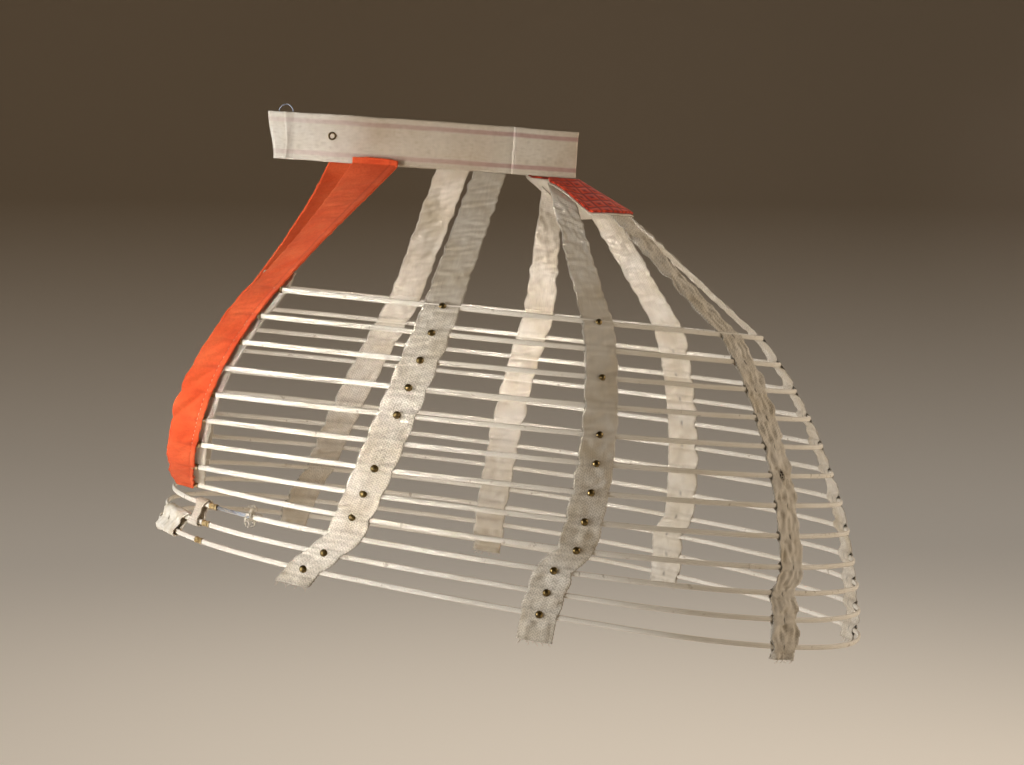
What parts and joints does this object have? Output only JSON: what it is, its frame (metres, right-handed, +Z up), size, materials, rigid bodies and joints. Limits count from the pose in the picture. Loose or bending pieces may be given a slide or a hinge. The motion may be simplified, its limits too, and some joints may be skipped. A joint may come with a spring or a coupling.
{
  "type": "crinoline cage",
  "caption": "Open-fronted skirt frame of braid-covered hoops threaded through woven tapes that hang from a waistband, with red front straps and a back yoke.",
  "frame": {"origin": "middle of the waistband, at the wearer's waist", "axes": "+X towards the wearer's back, -Y towards the wearer's left, +Z up"},
  "size_m": [0.5356, 0.3896, 0.4135],
  "materials": {
    "cotton_braid": "woven cotton braid over flat spring steel",
    "spring_steel": "bare tempered steel, dull",
    "brass": "tarnished stamped brass",
    "band_webbing": "cream twill webbing with mauve stripes",
    "red_wool": "orange-red wool twill",
    "quilted_wool": "crimson wool quilted in lozenges",
    "lining_cotton": "plain cotton",
    "cotton_tape": "off-white double-woven cotton tape",
    "kid_leather": "white tawed kid"
  },
  "bodies": {
    "root": {"back_yoke": "quilted_wool", "back_yoke_lining": "lining_cotton", "front_binding": "kid_leather", "front_strap_left": "red_wool", "front_strap_lining_left": "lining_cotton", "front_strap_lining_right": "lining_cotton", "front_strap_right": "red_wool", "front_tie": "cotton_tape", "hoop_01": "cotton_braid", "hoop_02": "cotton_braid", "hoop_03": "cotton_braid", "hoop_04": "cotton_braid", "hoop_05": "cotton_braid", "hoop_06": "cotton_braid", "hoop_07": "cotton_braid", "hoop_08": "cotton_braid", "hoop_09": "cotton_braid", "hoop_10": "cotton_braid", "hoop_10_bare_steel": "spring_steel", "hoop_11": "cotton_braid", "hoop_12": "cotton_braid", "hoop_end_clips_left": "brass", "hoop_end_clips_right": "brass", "hoop_joint_crimps": "brass", "studs_left_front": "brass", "studs_left_side": "brass", "studs_right_front": "brass", "studs_right_side": "brass", "tape_centre_back": "cotton_tape", "tape_left_back": "cotton_tape", "tape_left_front": "cotton_tape", "tape_left_side": "cotton_tape", "tape_right_back": "cotton_tape", "tape_right_front": "cotton_tape", "tape_right_side": "cotton_tape", "waistband_back": "band_webbing", "waistband_eyelet": "brass", "waistband_hook": "spring_steel", "waistband_left": "band_webbing", "waistband_right": "band_webbing"}
  },
  "joints": []
}
